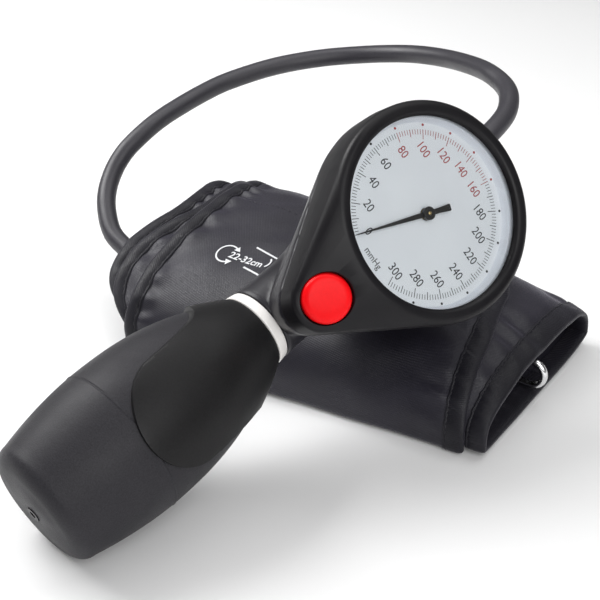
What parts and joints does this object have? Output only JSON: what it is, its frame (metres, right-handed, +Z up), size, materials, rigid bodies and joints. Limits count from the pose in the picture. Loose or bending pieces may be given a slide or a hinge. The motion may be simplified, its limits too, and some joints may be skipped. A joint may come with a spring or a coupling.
{
  "type": "upper arm blood pressure monitor",
  "caption": "Blood pressure monitor for the upper arm: a dial gauge with a red release button and a squeeze bulb, joined by a rubber hose to a rolled cloth cuff.",
  "frame": {"origin": "centre of the base of the box round the cuff and the gauge unit, without the hose, on the table the cuff lies on", "axes": "+Z up; +X along the rolled cuff, towards the end with the metal ring; -Y towards the squeeze bulb"},
  "size_m": [0.1909, 0.2701, 0.1085],
  "materials": {
    "head_plastic": "fine satin texture",
    "steel": "satin",
    "lens_clear": "polished",
    "dark_rubber": "matt",
    "dial_face": "satin white with printed scale",
    "pointer_black": "matt",
    "brass": "turned",
    "block_metal": "machined",
    "button_red": "gloss",
    "ring_white": "satin",
    "inner_plastic": "moulded",
    "bulb_rubber": "satin with a fine grain",
    "sleeve_rubber": "matt",
    "hose_rubber": "satin",
    "cuff_cloth": "woven nylon, coated inside",
    "ring_chrome": "polished",
    "tab_cloth": "webbing"
  },
  "bodies": {
    "monitor": {"front_shell": "head_plastic", "rear_shell": "head_plastic", "shell_screws": "steel", "lens": "lens_clear", "lens_gasket": "dark_rubber", "dial_plate": "dial_face", "hairspring": "brass", "movement_front_plate": "brass", "movement_rear_plate": "brass", "movement_pillars": "brass", "capsule_front": "brass", "capsule_rear": "brass", "air_block": "block_metal", "button_spring": "steel", "outlet_valve_seat": "block_metal", "collar_ring": "ring_white", "bulb_spigot": "inner_plastic", "bulb": "bulb_rubber", "grip_sleeve": "sleeve_rubber", "inlet_valve_body": "inner_plastic", "hose_nipple": "block_metal", "strain_relief": "dark_rubber", "air_hose": "hose_rubber", "bladder_port": "dark_rubber", "bladder": "dark_rubber", "cuff_outer_wrap": "cuff_cloth", "cuff_middle_wrap": "cuff_cloth", "cuff_inner_wrap": "cuff_cloth", "d_ring_tab": "tab_cloth"},
    "pointer": {"pointer": "pointer_black", "pinion_arbor": "brass"},
    "sector": {"sector_gear": "brass"},
    "rocker": {"rocker_shaft": "steel", "capsule_pin": "steel"},
    "button": {"release_button": "button_red", "valve_stem": "steel", "valve_seal": "dark_rubber"},
    "outlet_ball": {"outlet_valve_ball": "dark_rubber"},
    "inlet_ball": {"inlet_valve_ball": "dark_rubber"},
    "cuff_ring": {"d_ring": "ring_chrome"}
  },
  "joints": [
    {"name": "sector_swing", "type": "hinge", "parent": "monitor", "child": "sector", "pos_m": [0.04237, 0.0438, 0.0768], "axis": [0.7831, -0.3455, 0.5171], "range_deg": [0, 53.25]},
    {"name": "pointer_turn", "type": "hinge", "parent": "monitor", "child": "pointer", "pos_m": [0.045, 0.0254, 0.076], "axis": [0.7831, -0.3455, 0.5171], "range_deg": [-319.5, 0], "deforming": ["hairspring"]},
    {"name": "rocker_tilt", "type": "hinge", "parent": "monitor", "child": "rocker", "pos_m": [0.032, 0.01779, 0.06546], "axis": [0.5829, 0.1182, -0.8039], "range_deg": [0, 6.39], "deforming": ["capsule_front"]},
    {"name": "button_press", "type": "slide", "parent": "monitor", "child": "button", "axis": [-0.6362, 0.6818, -0.361], "range_m": [0, 0.002], "stiffness_N_per_m": 1500, "springref_m": -0.001, "deforming": ["button_spring"]},
    {"name": "outlet_ball_lift", "type": "slide", "parent": "monitor", "child": "outlet_ball", "axis": [0.2166, 0.9309, 0.294], "range_m": [0, 0.001]},
    {"name": "inlet_ball_lift", "type": "slide", "parent": "monitor", "child": "inlet_ball", "axis": [0.2166, 0.9309, 0.294], "range_m": [0, 0.001]},
    {"name": "ring_swing", "type": "hinge", "parent": "monitor", "child": "cuff_ring", "pos_m": [0.07348, 0.0554, 0.01569], "axis": [0.9982, 0, -0.0598], "range_deg": [-20, 20]}
  ],
  "couplings": [
    {"joint": "pointer_turn", "follows": "sector_swing", "ratio": -6},
    {"joint": "rocker_tilt", "follows": "sector_swing", "ratio": 0.12}
  ]
}
